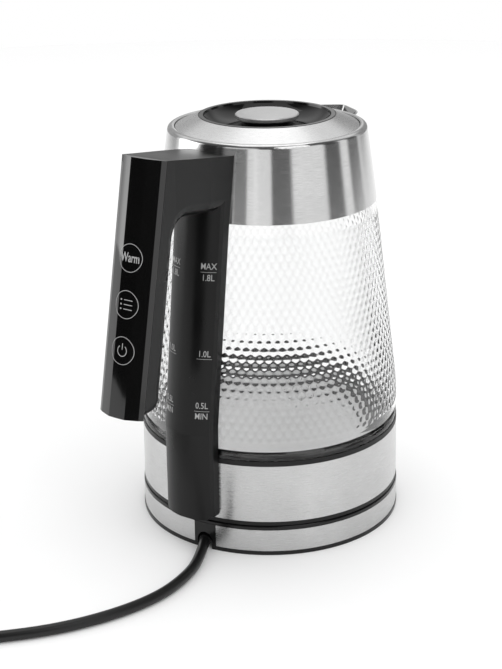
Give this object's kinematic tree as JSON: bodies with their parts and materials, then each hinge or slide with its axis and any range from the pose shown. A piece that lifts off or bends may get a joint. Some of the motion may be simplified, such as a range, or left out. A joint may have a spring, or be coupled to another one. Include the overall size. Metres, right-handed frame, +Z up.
{
  "type": "electric kettle",
  "caption": "Cordless electric kettle with a tapered glass jug, steel collar and spout, lift-off lid and touch-panel handle, on a corded power base.",
  "frame": {"origin": "centre of the power base on the surface it stands on", "axes": "+Z up, +X towards the spout, -X towards the handle"},
  "size_m": [0.3659, 0.2582, 0.256],
  "materials": {
    "steel": "brushed",
    "gloss_black": "gloss",
    "satin_black": "satin",
    "glass": "polished",
    "silicone": "matt",
    "cord_black": "satin",
    "brass": "satin",
    "zinc_screw": "polished",
    "inner_plastic": "matt",
    "aluminium": "satin",
    "board_green": "satin"
  },
  "bodies": {
    "power_base": {"base_shell": "satin_black", "base_steel_ring": "steel", "base_bottom_plate": "satin_black", "base_feet": "silicone", "base_screws": "zinc_screw", "base_connector": "satin_black", "base_contacts": "brass", "cord_clamp": "inner_plastic", "power_cord": "cord_black", "power_cord_tail": "cord_black", "cord_coil": "cord_black", "cord_strain_relief": "cord_black", "cord_inner_lead": "cord_black", "plug_body": "satin_black", "plug_pins": "zinc_screw", "plug_earth_clips": "brass"},
    "glide_ring": {"swivel_glide_ring": "inner_plastic"},
    "jug": {"jug_base_housing": "satin_black", "base_band": "steel", "jug_bottom_cover": "satin_black", "cover_screws": "zinc_screw", "jug_connector": "satin_black", "jug_contacts": "brass", "dry_boil_cutout": "inner_plastic", "heat_spreader": "aluminium", "heating_element": "steel", "temperature_probe": "steel", "heating_plate": "steel", "glass_seal_ring": "silicone", "relay_board": "board_green", "glass_body": "glass", "steel_collar": "steel", "collar_seal": "silicone", "collar_inner_ring": "satin_black", "spout_filter_frame": "satin_black", "spout_filter_mesh": "steel", "handle_shell": "satin_black", "handle_screws": "zinc_screw", "touch_panel": "gloss_black", "touch_board": "board_green", "touch_springs": "steel", "key_light_guides": "inner_plastic", "handle_spine": "satin_black", "wire_harness": "silicone"},
    "lid": {"lid_ring": "steel", "lid_bowl": "gloss_black", "knob_stem": "satin_black", "knob_cap": "steel", "knob_screw": "zinc_screw", "lid_plug": "satin_black", "lid_gasket": "silicone", "lid_under_plate": "steel"}
  },
  "joints": [
    {"name": "jug_swivel", "type": "hinge", "parent": "power_base", "child": "glide_ring", "pos_m": [0, 0, 0.02], "axis": [0, 0, 1], "continuous": true},
    {"name": "jug_lift", "type": "slide", "parent": "glide_ring", "child": "jug", "axis": [0, 0, 1], "range_m": [0, 0.11]},
    {"name": "lid_lift", "type": "slide", "parent": "jug", "child": "lid", "axis": [0, 0, 1], "range_m": [0, 0.07]}
  ]
}
